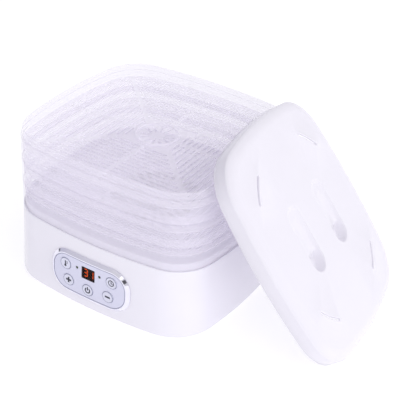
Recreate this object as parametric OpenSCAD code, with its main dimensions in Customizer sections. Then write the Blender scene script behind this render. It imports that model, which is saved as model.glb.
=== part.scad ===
// Square food dehydrator: a heated fan base, three stacking trays and a lid that leans beside them.
// Millimetres, +Z up. The floor is z = 0, the control panel faces -Y, and the origin is the centre
// of the box around the whole set, on the floor.

/* [Body] */
// Width of the base and the trays, across the front
body_w = 270; // [262:1:278]
// Depth of the base and the trays, front to back
body_d = 255; // [248:1:262]
// Radius of the upright corners
corner_r = 53; // [48:1:58]
// How far each side bulges beyond a straight line
side_bulge = 5.3; // [4:0.1:6]
// Gap between the floor and the lower edge of the base shell
foot_gap = 8.5; // [8:0.5:10]
// Height at which the lowest tray sits on the base
base_top = 97.5; // [95:0.5:100]
// How far the base shell spreads towards its lower edge
base_flare = 2.9; // [1:0.1:4]
// Wall thickness of the base shell
shell_t = 2.5; // [2:0.1:3]

/* [Trays] */
// Height that each tray adds to the stack
tray_pitch = 30.4; // [28:0.2:34]
// Wall thickness of the trays
tray_t = 2; // [1.6:0.1:2.2]
// Height of the nesting rim above a tray's shoulder
rim_h = 9.1; // [7:0.1:10]
// How far the nesting rim stands in from the tray wall
rim_inset = 2.3; // [2.3:0.1:3]
// Height of a tray's floor above the lower edge of its wall
floor_z = 19.5; // [14:0.5:21]
// Spacing of the slots in a tray's floor
slot_pitch = 7; // [6:0.5:9]

/* [Lid] */
// How far the lid's edge stands out past the tray wall
lid_over = 1; // [0.6:0.1:1.5]
// Depth of the lid's upright skirt
lid_skirt = 15.8; // [14:0.1:18]
// Height of the lid's sloping shoulder
lid_crown = 6; // [4:0.5:8]
// Width of the lid's sloping shoulder
lid_shoulder = 14.4; // [12:0.2:18]
// Slope of the leaning lid
lid_tilt = 51.7; // [50:0.1:53]
// Turn of the leaning lid about the upright
lid_turn = 2.1; // [0:0.1:4]
// Roll of the leaning lid about its own slope line
lid_roll = -6.9; // [-8:0.05:-6]
// Distance from the lid's middle to the middle of each finger scoop
scoop_x = 37.5; // [34:0.5:40]
// Radius of the finger scoops
scoop_r = 14.5; // [12:0.5:15]

/* [Panel] */
// Width of the bezel around the controls
panel_w = 111; // [105:1:115]
// Height of the bezel around the controls
panel_h = 57; // [54:1:60]
// Height of the panel's centre above the floor
panel_z = 49.5; // [48:0.5:52]
// Radius of the push buttons
button_r = 7.3; // [6.5:0.1:7.5]
// Travel of the push buttons
button_travel = 0.8; // [0.5:0.1:1]

/* [Fan and heater] */
// Radius of the fan impeller
fan_r = 50; // [46:1:53]
// Number of fan blades
fan_blades = 7; // [5:1:9]
// Inner radius of the air duct
duct_r = 56; // [56:1:58]
// Radius of the fan shaft
shaft_r = 2; // [1.5:0.1:2.5]
// Radius of the motor can
motor_r = 20; // [20:1:22]

/* [Set] */
// Where the centre of the unit stands across the set
unit_x = -75.8; // [-90:0.1:-70]
// Where the centre of the unit stands along the set
unit_y = -10.8; // [-20:0.1:-5]

/* [Hidden] */
$fn = 64;

half_w = body_w / 2;
half_d = body_d / 2;
// centres of the corner arcs
corner_x = half_w - corner_r - side_bulge;
corner_y = half_d - corner_r - side_bulge;
// radii of the bulged sides, before the corner radius is added
bulge_rx = (pow(corner_y, 2) + pow(side_bulge, 2)) / (2 * side_bulge);
bulge_ry = (pow(corner_x, 2) + pow(side_bulge, 2)) / (2 * side_bulge);
side_turn_x = asin(corner_y / bulge_rx);
side_turn_y = asin(corner_x / bulge_ry);
arc_steps = 7;

// levels inside the base
cover_z = foot_gap + 1;
cover_t = 2.5;
cover_top = cover_z + cover_t;
deck_t = 2.5;
deck_z = base_top - 2;
ledge_in = 9;
post_x = corner_x + 0.707 * (corner_r - 6.5);
post_y = corner_y + 0.707 * (corner_r - 6.5);
foot_x = half_w - 43;
foot_y = half_d - 43;
foot_r = 11;
bracket_post = 50;
bracket_z = cover_top + 6;
motor_z = bracket_z + 2;
motor_h = 28;
fan_z = motor_z + motor_h + 9.5;
blade_pitch = 32;
blade_w = 21;
duct_z = motor_z + motor_h - 2;
heater_z = fan_z + 14;
screw_r = 1.5;
flange_screw_r = 64;

// the panel leans with the flared front wall
flare_rate = base_flare / (base_top - foot_gap);
panel_tilt = atan(flare_rate);
panel_y = half_d + flare_rate * (base_top - panel_z);
front_r = bulge_ry + corner_r + flare_rate * (base_top - panel_z);
pod_h = 3.7;
bezel_w = 4.7;
bezel_r = 25;
bezel_steps = 10;
bezel_along = 12;
fascia_t = 2;
fascia_in = bezel_w + 0.1;
board_y = 15;
board_t = 1.6;

// control positions on the panel, from its centre
button_at = [[-32.2, 10.8], [32.2, 10.8], [-27.8, -10], [27.8, -10], [0, -12.5]];
lamp_at = [[-15.8, 12.1], [15.8, 12.1]];
display_z = 9.2;
display_w = 18.4;
display_h = 15.8;

gland_z = 30;
gland_bore = 3.7;
gland_y = half_d + flare_rate * (base_top - gland_z);

lid_t = 2;
lid_at = [197.3, 27.5, 118.65];

white = [0.95, 0.945, 0.97];
frosted = [0.9, 0.89, 0.96, 0.6];
lavender = [0.84, 0.86, 0.95];
metal = [0.75, 0.76, 0.78];
mica = [0.78, 0.7, 0.55];
board_green = [0.12, 0.4, 0.22];
dark = [0.08, 0.08, 0.09];

// ---------- shared shapes ----------

function arc(cx, cy, r, from, to) =
    [for (i = [0 : arc_steps - 1]) let (t = from + (to - from) * i / arc_steps)
        [cx + r * cos(t), cy + r * sin(t)]];

// The plan of the body, moved inwards by inset; a negative inset moves it outwards.
function plan(inset = 0) = let (
    r = corner_r - inset,
    rx = bulge_rx + r, ry = bulge_ry + r,
    sx = half_w - corner_r - bulge_rx, sy = half_d - corner_r - bulge_ry,
    a = side_turn_x, b = side_turn_y)
    concat(
        arc(sx, 0, rx, -a, a), arc(corner_x, corner_y, r, a, 90 - b),
        arc(0, sy, ry, 90 - b, 90 + b), arc(-corner_x, corner_y, r, 90 + b, 180 - a),
        arc(-sx, 0, rx, 180 - a, 180 + a), arc(-corner_x, -corner_y, r, 180 + a, 270 - b),
        arc(0, -sy, ry, 270 - b, 270 + b), arc(corner_x, -corner_y, r, 270 + b, 360 - a));

plan_points = len(plan());

// Rings of the plan, one for each [inset, height] of a profile.
function rings(profile) =
    [for (p = profile) for (q = plan(p[0])) [q[0], q[1], p[1]]];

// Triangles between ring i and ring j.
function band(i, j, n = plan_points) =
    [for (k = [0 : n - 1]) let (m = (k + 1) % n)
        for (t = [[i * n + k, j * n + m, i * n + m], [i * n + k, j * n + k, j * n + m]]) t];

// A wall that follows the plan all the way round. The profile is its closed cross-section,
// listed upwards on the outside and downwards on the inside.
module plan_wall(profile) {
    count = len(profile);
    polyhedron(rings(profile), [for (i = [0 : count - 1]) each band(i, (i + 1) % count)], convexity = 10);
}

// A plate with the plan's outline and, if given, holes as lists of points.
module plan_plate(inset, z, t, holes = []) {
    edge = plan(inset);
    starts = [for (i = 0, s = plan_points; i < len(holes); s = s + len(holes[i]), i = i + 1) s];
    translate([0, 0, z])
        linear_extrude(t)
            polygon(
                concat(edge, [for (h = holes) each h]),
                concat(
                    [[for (i = [0 : plan_points - 1]) i]],
                    [for (i = [0 : 1 : len(holes) - 1]) [for (k = [0 : len(holes[i]) - 1]) starts[i] + k]]));
}

function box_hole(x0, x1, y0, y1) = [[x0, y0], [x1, y0], [x1, y1], [x0, y1]];

// Radial slots between two radii.
function radial_slots(count, r0, r1, w) =
    [for (i = [0 : count - 1]) let (a = 360 * (i + 0.5) / count)
        [for (c = [[r0, -1], [r1, -1], [r1, 1], [r0, 1]]) let (s = c[1] * w * (c[0] / r1) / 2)
            [c[0] * cos(a) - s * sin(a), c[0] * sin(a) + s * cos(a)]]];

module at_unit() {
    translate([unit_x, unit_y, 0]) children();
}

// The panel's own frame: x to the right, z up the panel, -y out of it, y = 0 on the shell.
module at_panel() {
    at_unit() translate([0, -panel_y, panel_z]) rotate([-panel_tilt, 0, 0]) children();
}

module four(x, y) {
    for (sx = [-1, 1], sy = [-1, 1]) translate([sx * x, sy * y, 0]) children();
}

// A rounded bar outline lying in the panel's plane, extruded from y0 to y1.
module panel_slab(w, h, r, y0, y1) {
    translate([0, y1, 0])
        rotate([90, 0, 0])
            linear_extrude(y1 - y0)
                union() {
                    square([w - 2 * r, h], center = true);
                    square([w, h - 2 * r], center = true);
                    for (sx = [-1, 1], sy = [-1, 1])
                        translate([sx * (w / 2 - r), sy * (h / 2 - r)]) circle(r);
                }
}

// Everything within a distance out of the curved front wall.
module front_curve(out) {
    translate([0, front_r, 0]) cylinder(r = front_r + out, h = 4 * panel_h, center = true, $fn = 200);
}

// How far the curved front wall falls back at x.
function front_sag(x) = front_r - sqrt(pow(front_r, 2) - pow(x, 2));

module screw(head_r, length) {
    difference() {
        union() {
            cylinder(r = head_r, h = 2);
            translate([0, 0, -length]) cylinder(r = screw_r - 0.3, h = length + 1);
        }
        for (a = [0, 90]) rotate(a) translate([-head_r * 0.55, -0.4, 1]) cube([head_r * 1.1, 0.8, 2]);
    }
}

// ---------- base ----------

// The four board posts behind the panel, +z pointing into the base.
module at_board_posts() {
    at_panel() for (x = [-48, 48], z = [-21, 17])
        translate([x, 0, z]) rotate([-90, 0, 0]) children();
}

module base_shell() {
    color(white)
        difference() {
            union() {
                at_unit() plan_wall([
                    [-base_flare + 1.5, foot_gap], [-base_flare, foot_gap + 1.5],
                    [-base_flare * 0.45, (foot_gap + base_top) / 2], [0, base_top - 1.2], [1, base_top],
                    [rim_inset - 0.2, base_top], [rim_inset - 0.2, deck_z],
                    [ledge_in, deck_z], [ledge_in, deck_z - 2.5], [shell_t, deck_z - 2.5],
                    [shell_t - base_flare * 0.45, (foot_gap + base_top) / 2],
                    [shell_t - base_flare, foot_gap]
                ]);
                at_unit() four(post_x, post_y)
                    translate([0, 0, cover_top + 0.2]) cylinder(r = 5, h = deck_z - 2 - cover_top);
                at_board_posts() translate([0, 0, 3]) cylinder(r = 3, h = board_y - 3);
            }
            at_board_posts() translate([0, 0, board_y - 6]) cylinder(r = screw_r - 0.2, h = 8);
            at_unit() four(post_x, post_y) translate([0, 0, cover_top]) cylinder(r = screw_r - 0.2, h = 20);
            at_panel() panel_slab(panel_w - 26, panel_h - 11, 15, -5, 12);
            at_unit() translate([0, gland_y + 6, gland_z]) rotate([90, 0, 0]) cylinder(r = 6.7, h = 20);
        }
}

module bottom_cover() {
    color(white)
        at_unit() difference() {
            union() {
                plan_plate(0.2, cover_z, cover_t, radial_slots(30, 22, 56, 7));
                four(bracket_post, bracket_post)
                    translate([0, 0, cover_z + 1]) cylinder(r = 4, h = bracket_z - cover_z - 1);
                for (x = [-108, -68], y = [-30, 46])
                    translate([x, y, cover_z + 1]) cylinder(r = 3, h = 10);
                for (x = [-14, 14])
                    translate([x, 108, cover_z + 1]) cylinder(r = 4, h = gland_z - cover_z - 5);
            }
            four(foot_x, foot_y) translate([0, 0, cover_z - 1]) cylinder(r = 4.1, h = 6);
            four(post_x, post_y) translate([0, 0, cover_z - 1]) cylinder(r = screw_r + 0.3, h = 6);
            four(bracket_post, bracket_post)
                translate([0, 0, bracket_z - 4]) cylinder(r = screw_r - 0.2, h = 6);
        }
}

module rubber_feet() {
    color(dark)
        at_unit() four(foot_x, foot_y) {
            cylinder(r1 = foot_r - 1.5, r2 = foot_r, h = cover_z);
            translate([0, 0, cover_z - 0.5]) cylinder(r = 4, h = cover_t + 0.5);
            translate([0, 0, cover_top]) cylinder(r1 = 5, r2 = 3.6, h = 2.5);
        }
}

// The deck drops onto the shell's ledge and carries the nesting rim for the lowest tray.
module top_deck() {
    color(white)
        at_unit() difference() {
            union() {
                plan_plate(rim_inset + tray_t / 2, deck_z, deck_t,
                    concat(radial_slots(28, 18, 34, 4.2), radial_slots(28, 37, 54, 6.5)));
                plan_wall([
                    [rim_inset, deck_z + 0.3], [rim_inset, base_top + rim_h - 0.8],
                    [rim_inset + 0.6, base_top + rim_h],
                    [rim_inset + tray_t, base_top + rim_h], [rim_inset + tray_t, deck_z + 0.3]
                ]);
            }
            for (a = [45 : 90 : 315])
                rotate(a)
                    translate([flange_screw_r, 0, deck_z - 1]) cylinder(r = screw_r + 0.2, h = deck_t + 2);
        }
}

module cord_gland() {
    color(white)
        at_unit() translate([0, gland_y, gland_z]) rotate([-90, 0, 0])
            difference() {
                union() {
                    translate([0, 0, 0.5]) cylinder(r1 = 10, r2 = 8.5, h = 2.5);
                    translate([0, 0, -11]) cylinder(r = 6.5, h = 12);
                    translate([0, 0, -8]) cylinder(r = 9, h = 4, $fn = 6);
                }
                translate([0, 0, -12]) cylinder(r = gland_bore, h = 16);
            }
}

module cord_clamp() {
    color(white)
        at_unit() translate([0, 108, gland_z - 4])
            difference() {
                translate([-19, -4.5, 0]) cube([38, 9, 9]);
                translate([0, 5, 4]) rotate([90, 0, 0]) cylinder(r = 3.9, h = 10);
            }
}

// ---------- control panel ----------

// The bezel's plan in the panel's plane, anticlockwise from the right, moved inwards by inset.
function bezel_plan(inset) = let (
    r = bezel_r - inset,
    cx = panel_w / 2 - bezel_r, cz = panel_h / 2 - bezel_r)
    [for (q = [[cx, cz, 0], [-cx, cz, 90], [-cx, -cz, 180], [cx, -cz, 270]])
        each concat(
            [for (i = [0 : bezel_steps]) let (a = q[2] + 90 * i / bezel_steps)
                [q[0] + r * cos(a), q[1] + r * sin(a)]],
            q[2] % 180 == 0
                ? [for (i = [1 : bezel_along - 1])
                    [q[0] * (1 - 2 * i / bezel_along), q[1] + r * sin(q[2] + 90)]]
                : [])];

module panel_bezel() {
    n = len(bezel_plan(0));
    // the ring's cross-section as [distance inwards, height off the wall]
    section = [
        [0, 0.1], [0.2, 0.9], [bezel_w - 1.6, pod_h - 0.3],
        [bezel_w - 0.9, pod_h], [bezel_w, pod_h], [bezel_w, 0.1]
    ];
    count = len(section);
    color(metal)
        at_panel() polyhedron(
            [for (c = section) for (q = bezel_plan(c[0])) [q[0], front_sag(q[0]) - c[1], q[1]]],
            [for (i = [0 : count - 1]) each band((i + 1) % count, i, n)], convexity = 6);
}

module panel_fascia() {
    color(lavender)
        at_panel() difference() {
            intersection() {
                panel_slab(panel_w - 2 * fascia_in, panel_h - 2 * fascia_in, bezel_r - fascia_in, -9, 9);
                front_curve(pod_h - 0.3);
            }
            front_curve(pod_h - 0.3 - fascia_t);
            for (p = button_at)
                translate([p[0], 9, p[1]]) rotate([90, 0, 0]) cylinder(r = button_r + 0.3, h = 20);
            for (p = lamp_at) translate([p[0], 9, p[1]]) rotate([90, 0, 0]) cylinder(r = 1.7, h = 20);
            translate([-display_w / 2, -9, display_z - display_h / 2]) cube([display_w, 20, display_h]);
        }
}

module display_lens() {
    color(dark)
        at_panel() translate([-display_w / 2 + 0.1, -pod_h + 0.2, display_z - display_h / 2 + 0.1])
            cube([display_w - 0.2, 1.2, display_h - 0.2]);
}

module display_module() {
    color(dark)
        at_panel() translate([-9, -pod_h + 2, display_z - 7.5]) cube([18, board_y + pod_h - 2, 15]);
}

// One seven-segment figure: the seven flags run top, upper right, lower right, bottom, lower left,
// upper left, middle.
module figure(on) {
    w = 4.6;
    h = 9.6;
    s = 1.1;
    bars = [[0, h / 2, w, s], [w / 2, h / 4, s, h / 2 - s], [w / 2, -h / 4, s, h / 2 - s], [0, -h / 2, w, s],
        [-w / 2, -h / 4, s, h / 2 - s], [-w / 2, h / 4, s, h / 2 - s], [0, 0, w, s]];
    for (i = [0 : 6])
        if (on[i] == 1)
            translate([bars[i][0] - bars[i][2] / 2 + 0.15, 0, bars[i][1] - bars[i][3] / 2 + 0.15])
                cube([bars[i][2] - 0.3, 0.4, bars[i][3] - 0.3]);
}

module display_digits() {
    color([0.95, 0.25, 0.08])
        at_panel() translate([0, -pod_h + 1.5, display_z]) {
            translate([-4, 0, 0]) figure([1, 1, 1, 1, 0, 0, 1]);
            translate([4, 0, 0]) figure([1, 1, 1, 0, 0, 0, 0]);
        }
}

// A push button: the cap, a collar that keeps it behind the fascia, and a stem to its switch.
module push_button(i) {
    p = button_at[i];
    face = front_sag(p[0]) - pod_h;
    color(white)
        at_panel() translate([p[0], 0, p[1]]) rotate([-90, 0, 0]) {
            translate([0, 0, face - 0.3]) cylinder(r = button_r, h = 4.2);
            translate([0, 0, face + 2.9]) cylinder(r = button_r + 1.2, h = 1.2);
            translate([0, 0, face + 3]) cylinder(r = 2.2, h = board_y - 4.7 - face - 3);
        }
}

module button_temperature() {
    push_button(0);
}

module button_timer() {
    push_button(1);
}

module button_plus() {
    push_button(2);
}

module button_minus() {
    push_button(3);
}

module button_power() {
    push_button(4);
}

module indicator_lamps() {
    color([0.2, 0.28, 0.12])
        at_panel() for (p = lamp_at)
            translate([p[0], front_sag(p[0]) - pod_h + 0.1, p[1]]) rotate([-90, 0, 0])
                cylinder(r = 1.6, h = board_y + pod_h - front_sag(p[0]) - 0.1);
}

module control_board() {
    color(board_green)
        difference() {
            at_panel() translate([-52, board_y, -25]) cube([104, board_t, 46]);
            at_board_posts() translate([0, 0, board_y - 2]) cylinder(r = screw_r + 0.1, h = 5);
        }
}

module tact_switches() {
    color(dark)
        at_panel() for (p = button_at)
            translate([p[0], board_y, p[1]]) {
                translate([-3, -2.6, -3]) cube([6, 2.6, 6]);
                translate([0, -3.5, 0]) rotate([-90, 0, 0]) cylinder(r = 1.7, h = 1.5);
            }
}

module board_screws() {
    color(metal) {
        at_board_posts() translate([0, 0, board_y + board_t]) screw(2.8, 6);
        at_unit() for (x = [-108, -68], y = [-30, 46])
            translate([x, y, cover_z + 12.6]) screw(2.8, 1.6);
    }
}

module power_board() {
    color(board_green)
        at_unit() difference() {
            translate([-113, -36, cover_z + 11]) cube([50, 88, 1.6]);
            for (x = [-108, -68], y = [-30, 46])
                translate([x, y, cover_z + 10]) cylinder(r = screw_r - 0.1, h = 4);
        }
}

module power_components() {
    color([0.15, 0.25, 0.5])
        at_unit() translate([0, 0, cover_z + 12.6]) {
            translate([-104, -18, 0]) cube([16, 19, 15]);
            translate([-104, 8, 0]) cube([18, 7, 13]);
            translate([-78, -10, 0]) cylinder(r = 6.5, h = 18);
            translate([-78, 10, 0]) cylinder(r = 5, h = 14);
            translate([-82, 24, 0]) cube([14, 12, 9]);
            translate([-106, 26, 0]) cube([14, 12, 11]);
        }
}

// ---------- fan and motor ----------

module motor_bracket() {
    color(metal)
        at_unit() difference() {
            union() {
                for (a = [45, 135])
                    rotate(a) translate([-77, -6, bracket_z]) cube([154, 12, 2]);
                translate([0, 0, bracket_z]) cylinder(r = motor_r + 3, h = 2);
            }
            translate([0, 0, bracket_z - 1]) cylinder(r = 6, h = 4);
            four(bracket_post, bracket_post)
                translate([0, 0, bracket_z - 1]) cylinder(r = screw_r + 0.2, h = 4);
        }
}

module bracket_screws() {
    color(metal) at_unit() four(bracket_post, bracket_post) translate([0, 0, bracket_z + 2]) screw(3, 6);
}

module motor_can() {
    color(metal)
        at_unit() translate([0, 0, motor_z]) difference() {
            cylinder(r = motor_r, h = motor_h);
            translate([0, 0, 1.2]) cylinder(r = motor_r - 1.2, h = motor_h - 2.4);
            translate([0, 0, -1]) cylinder(r = 5, h = motor_h + 2);
        }
}

module motor_stator() {
    color([0.55, 0.3, 0.15])
        at_unit() translate([0, 0, motor_z + 6]) difference() {
            cylinder(r = motor_r - 1.3, h = motor_h - 12);
            translate([0, 0, -1]) cylinder(r = 14.2, h = motor_h);
        }
}

module motor_bearings() {
    color([0.7, 0.55, 0.3])
        at_unit() for (z = [motor_z, motor_z + motor_h - 4])
            translate([0, 0, z]) difference() {
                cylinder(r = 5, h = 4);
                translate([0, 0, -1]) cylinder(r = shaft_r + 0.03, h = 6);
            }
}

module motor_rotor() {
    color(metal)
        at_unit() translate([0, 0, motor_z + 6]) difference() {
            cylinder(r = 13.5, h = motor_h - 12);
            translate([0, 0, -1]) cylinder(r = shaft_r, h = motor_h);
        }
}

module fan_shaft() {
    color(metal) at_unit() translate([0, 0, motor_z - 1.5]) cylinder(r = shaft_r, h = motor_h + 17);
}

module fan_impeller() {
    color([0.85, 0.85, 0.86])
        at_unit() translate([0, 0, fan_z]) difference() {
            union() {
                translate([0, 0, -7]) cylinder(r = 12, h = 14);
                intersection() {
                    for (i = [0 : fan_blades - 1])
                        rotate(360 * i / fan_blades) rotate([blade_pitch, 0, 0])
                            translate([10, -blade_w / 2, -0.8]) cube([fan_r, blade_w, 1.6]);
                    cylinder(r = fan_r, h = 20, center = true);
                }
            }
            translate([0, 0, -8]) cylinder(r = shaft_r, h = 14);
        }
}

module air_duct() {
    color([0.88, 0.88, 0.9])
        at_unit() difference() {
            union() {
                translate([0, 0, duct_z]) cylinder(r = duct_r + 2, h = deck_z - duct_z);
                translate([0, 0, deck_z - 2.5]) cylinder(r = duct_r + 13, h = 2.5);
            }
            translate([0, 0, duct_z - 1]) cylinder(r = duct_r, h = deck_z);
            for (a = [45 : 90 : 315])
                rotate(a) translate([flange_screw_r, 0, deck_z - 4]) cylinder(r = screw_r - 0.2, h = 5);
        }
}

module deck_screws() {
    color(metal)
        at_unit() for (a = [45 : 90 : 315])
            rotate(a) translate([flange_screw_r, 0, deck_z + deck_t]) screw(3, 6);
}

module base_screws() {
    color(metal)
        at_unit() four(post_x, post_y) translate([0, 0, cover_z]) mirror([0, 0, 1]) screw(3.2, 12);
}

// ---------- heater ----------

ribbon_r0 = 15;
ribbon_step = 9;
ribbon_turns = 4;

// A flat spiral band, w thick.
module spiral_band(w, h) {
    steps = 24 * ribbon_turns;
    function at(i, off) =
        let (r = ribbon_r0 + ribbon_step * i / 24 + off, a = 360 * i / 24)
        [r * cos(a), r * sin(a)];
    linear_extrude(h)
        polygon(concat([for (i = [0 : steps]) at(i, w / 2)], [for (i = [steps : -1 : 0]) at(i, -w / 2)]));
}

module heater_frame() {
    color(mica)
        at_unit() translate([0, 0, heater_z]) difference() {
            intersection() {
                for (a = [30 : 60 : 150])
                    rotate(a) translate([-duct_r, -0.5, 0]) cube([2 * duct_r, 1, 15]);
                cylinder(r = duct_r, h = 15);
            }
            translate([0, 0, 5]) spiral_band(1.6, 12);
        }
}

module heater_ribbon() {
    color([0.5, 0.48, 0.5]) at_unit() translate([0, 0, heater_z + 5]) spiral_band(0.8, 4);
}

module thermostat() {
    color(metal)
        at_unit() rotate(200) translate([duct_r + 2, 0, heater_z + 2]) rotate([0, 90, 0]) {
            cylinder(r = 8, h = 5);
            translate([0, 0, 5]) cylinder(r = 6.5, h = 5);
            for (y = [-4, 4]) translate([-1, y - 1.5, 9]) cube([0.8, 3, 8]);
        }
}

module thermal_fuse() {
    color(metal)
        at_unit() rotate(100) translate([duct_r + 4.2, -6, heater_z + 6]) rotate([-90, 0, 0]) {
            cylinder(r = 2, h = 12);
            translate([0, 0, -8]) cylinder(r = 0.6, h = 28);
        }
}

module temperature_sensor() {
    color(dark)
        at_unit() rotate(-20) translate([duct_r + 20, 0, deck_z - 9]) {
            sphere(r = 2.2);
            cylinder(r = 0.8, h = 9);
            translate([-5, -5, 6.8]) cube([10, 10, 2.2]);
        }
}

module terminal_block() {
    color([0.2, 0.2, 0.22])
        at_unit() difference() {
            translate([-16, 84, cover_top]) cube([32, 12, 14]);
            for (x = [-10, 0, 10]) translate([x, 90, cover_top + 8]) cylinder(r = 2.4, h = 7);
        }
}

// A wire through a list of points: a ring across the run's direction at each point, skinned.
module wire(r, points) {
    sides = 8;
    last = len(points) - 1;
    function unit(v) = v / norm(v);
    function heading(i) = unit(
        (i > 0 ? unit(points[i] - points[i - 1]) : [0, 0, 0])
        + (i < last ? unit(points[i + 1] - points[i]) : [0, 0, 0]));
    function ring(i) = let (
        t = heading(i),
        across = unit(cross(t, abs(t[2]) > 0.9 ? [1, 0, 0] : [0, 0, 1])),
        upward = cross(across, t))
        [for (k = [0 : sides - 1]) let (a = 360 * k / sides)
            points[i] + r * (cos(a) * across + sin(a) * upward)];
    polyhedron(
        [for (i = [0 : last]) each ring(i)],
        concat(
            [for (i = [0 : last - 1]) each band(i, i + 1, sides)],
            [[for (k = [0 : sides - 1]) k]],
            [[for (k = [sides - 1 : -1 : 0]) last * sides + k]]));
}

module wire_harness() {
    color([0.75, 0.1, 0.1])
        at_unit() {
            wire(1, [[-10, 84, 20], [-10, 74, 18], [-62, 74, 18], [-75, 53, 24]]);
            wire(1, [[-70, -36, 24], [-70, -80, 26], [-40, -108, 30]]);
            wire(1, [[10, 84, 20], [10, 74, 18], [40, 80, 40], [30, 62, heater_z + 2]]);
            wire(1, [[-62, 0, 24], [-46, 0, 30], [-21, 0, 34]]);
        }
}

// ---------- trays ----------

tray_hub_r = 26;
slot_w = 3.6;
slot_margin = 7;

// Half the length of a floor slot whose outer edge is at distance v from the middle, between the
// corner arcs and the diagonal ribs. hu and hv are the half sizes along and across the slot.
function slot_reach(hu, hv, cu, cv, v) = let (
    inner = corner_r - slot_margin,
    beyond = max(0, v - cv),
    round_end = beyond < inner ? cu + sqrt(pow(inner, 2) - pow(beyond, 2)) : cu,
    diagonal = hu - (hv - v) - slot_w - 3)
    min(round_end, diagonal);

// Slots run parallel to the four sides, split by a rib in the middle.
function side_slots(hu, hv, cu, cv, swap) =
    [for (v = [tray_hub_r + 6 : slot_pitch : hv - slot_margin - slot_w / 2])
        let (u = slot_reach(hu, hv, cu, cv, v + slot_w / 2), gap = 2)
            for (s = [-1, 1]) if (u > gap + 3)
                for (t = [-1, 1]) let (
                    a = t * gap, b = t * u, c = s * v - slot_w / 2, d = s * v + slot_w / 2)
                    swap ? box_hole(c, d, min(a, b), max(a, b)) : box_hole(min(a, b), max(a, b), c, d)];

function tray_slots() = concat(
    side_slots(half_w, half_d, corner_x, corner_y, false),
    side_slots(half_d, half_w, corner_y, corner_x, true),
    radial_slots(12, 9, 20, 5));

module tray(level) {
    color(frosted)
        at_unit() translate([0, 0, base_top + level * tray_pitch]) union() {
            plan_wall([
                [0.6, 0.3], [0, 1.2], [0, tray_pitch - 1.2], [1, tray_pitch],
                [rim_inset, tray_pitch], [rim_inset, tray_pitch + rim_h - 0.8],
                [rim_inset + 0.6, tray_pitch + rim_h],
                [rim_inset + tray_t, tray_pitch + rim_h], [rim_inset + tray_t, tray_pitch - 2],
                [tray_t, tray_pitch - 4.5], [tray_t, 0.3]
            ]);
            plan_plate(1, floor_z, 2, tray_slots());
            difference() {
                translate([0, 0, floor_z]) cylinder(r = tray_hub_r, h = 5);
                translate([0, 0, floor_z - 1]) cylinder(r = tray_hub_r - 2, h = 7);
            }
        }
}

module tray_1() {
    tray(0);
}

module tray_2() {
    tray(1);
}

module tray_3() {
    tray(2);
}

// ---------- lid ----------

scoop_half = 25.5;
scoop_shallow = 2.5;
scoop_slope = 2.5;
scoop_deep = 12;
scoop_pocket = 0.8;
shoulder_steps = 5;
vent_r = 110;
vent_sweep = 9;
vent_angle = 43;
vent_w = 2.4;

// The sloping shoulder, from the top of the skirt to the flat top; t makes it the inner face.
function shoulder(t) =
    [for (i = [0 : shoulder_steps]) let (s = i / shoulder_steps)
        [-lid_over + t + (lid_shoulder - t) * s, (lid_crown - t) * (1 - pow(1 - s, 2))]];

outer_lid = concat([[-lid_over, -lid_skirt]], shoulder(0));
inner_lid = concat([[-lid_over + lid_t, -lid_skirt]], shoulder(lid_t));

module lid_body() {
    n = plan_points;
    outer = len(outer_lid);
    inner = len(inner_lid);
    points = concat(rings(outer_lid), rings(inner_lid));
    walls = [for (i = [0 : outer - 2]) each band(i, i + 1)];
    underside = [for (i = [0 : inner - 2]) each band(outer + i + 1, outer + i)];
    cap = [[for (k = [0 : n - 1]) (outer - 1) * n + n - 1 - k]];
    ceiling = [[for (k = [0 : n - 1]) (outer + inner - 1) * n + k]];
    polyhedron(points, concat(walls, underside, band(outer, 0), cap, ceiling), convexity = 10);
}

function clamp(s) = max(0, min(1, s));

// Depth of a finger scoop at x: a gentle slope, then a drop into a pocket at the low end.
function scoop_depth(x) = let (
    s = clamp((x + scoop_half) / (2 * scoop_half)),
    drop = clamp((s - scoop_pocket) / (1 - scoop_pocket)))
    scoop_shallow + scoop_slope * s
    + (scoop_deep - scoop_shallow - scoop_slope) * drop * drop * (3 - 2 * drop);

// A bar with round ends along x, anticlockwise: 13 points on each end and 9 along each side.
function scoop_outline(r) =
    [for (e = [1, -1]) each concat(
        [for (i = [0 : 12]) e * [scoop_half + r * cos(15 * i - 90), r * sin(15 * i - 90)]],
        [for (i = [1 : 9]) e * [scoop_half * (1 - i / 5), r]])];

scoop_points = 44;

// Faces that close ring j of a scoop, in strips from its right tip to its left tip.
function scoop_strips(j) =
    [for (i = [6 : 27])
        let (n = scoop_points, a = j * n + i, b = j * n + (55 - i) % n, c = j * n + (56 - i) % n)
        i == 6 ? [a, a + 1, b] : i == 27 ? [a, a + 1, c] : [a, a + 1, b, c]];

// The same faces seen from the other side.
function flipped(faces) = [for (f = faces) [for (i = [len(f) - 1 : -1 : 0]) f[i]]];

// A finger scoop, grown by t all round, as a solid that reaches up to top above the lid.
module scoop(t, top) {
    // [distance inwards, share of the depth]
    steps = [[0, 0], [0.8, 0.3], [2, 0.7], [4, 1]];
    last = len(steps);
    points = concat(
        [for (q = scoop_outline(scoop_r + t)) [q[0], q[1], lid_crown + top]],
        [for (s = steps) for (q = scoop_outline(scoop_r + t - s[0]))
            [q[0], q[1], lid_crown - 0.2 - s[1] * (scoop_depth(q[0]) + t - 0.2)]]);
    sides = [for (i = [0 : last - 1]) each band(i + 1, i, scoop_points)];
    polyhedron(points, concat(sides, flipped(scoop_strips(0)), scoop_strips(last)), convexity = 6);
}

// One edge of an air vent, its steps taken in the order given.
function vent_arc(r, order) =
    [for (i = order) r * [cos(i * vent_sweep / 4), sin(i * vent_sweep / 4)]];

module vent(a) {
    rotate(a)
        linear_extrude(20, center = true)
            polygon(concat(
                vent_arc(vent_r + vent_w / 2, [-4 : 4]),
                vent_arc(vent_r - vent_w / 2, [4 : -1 : -4])));
}

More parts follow.
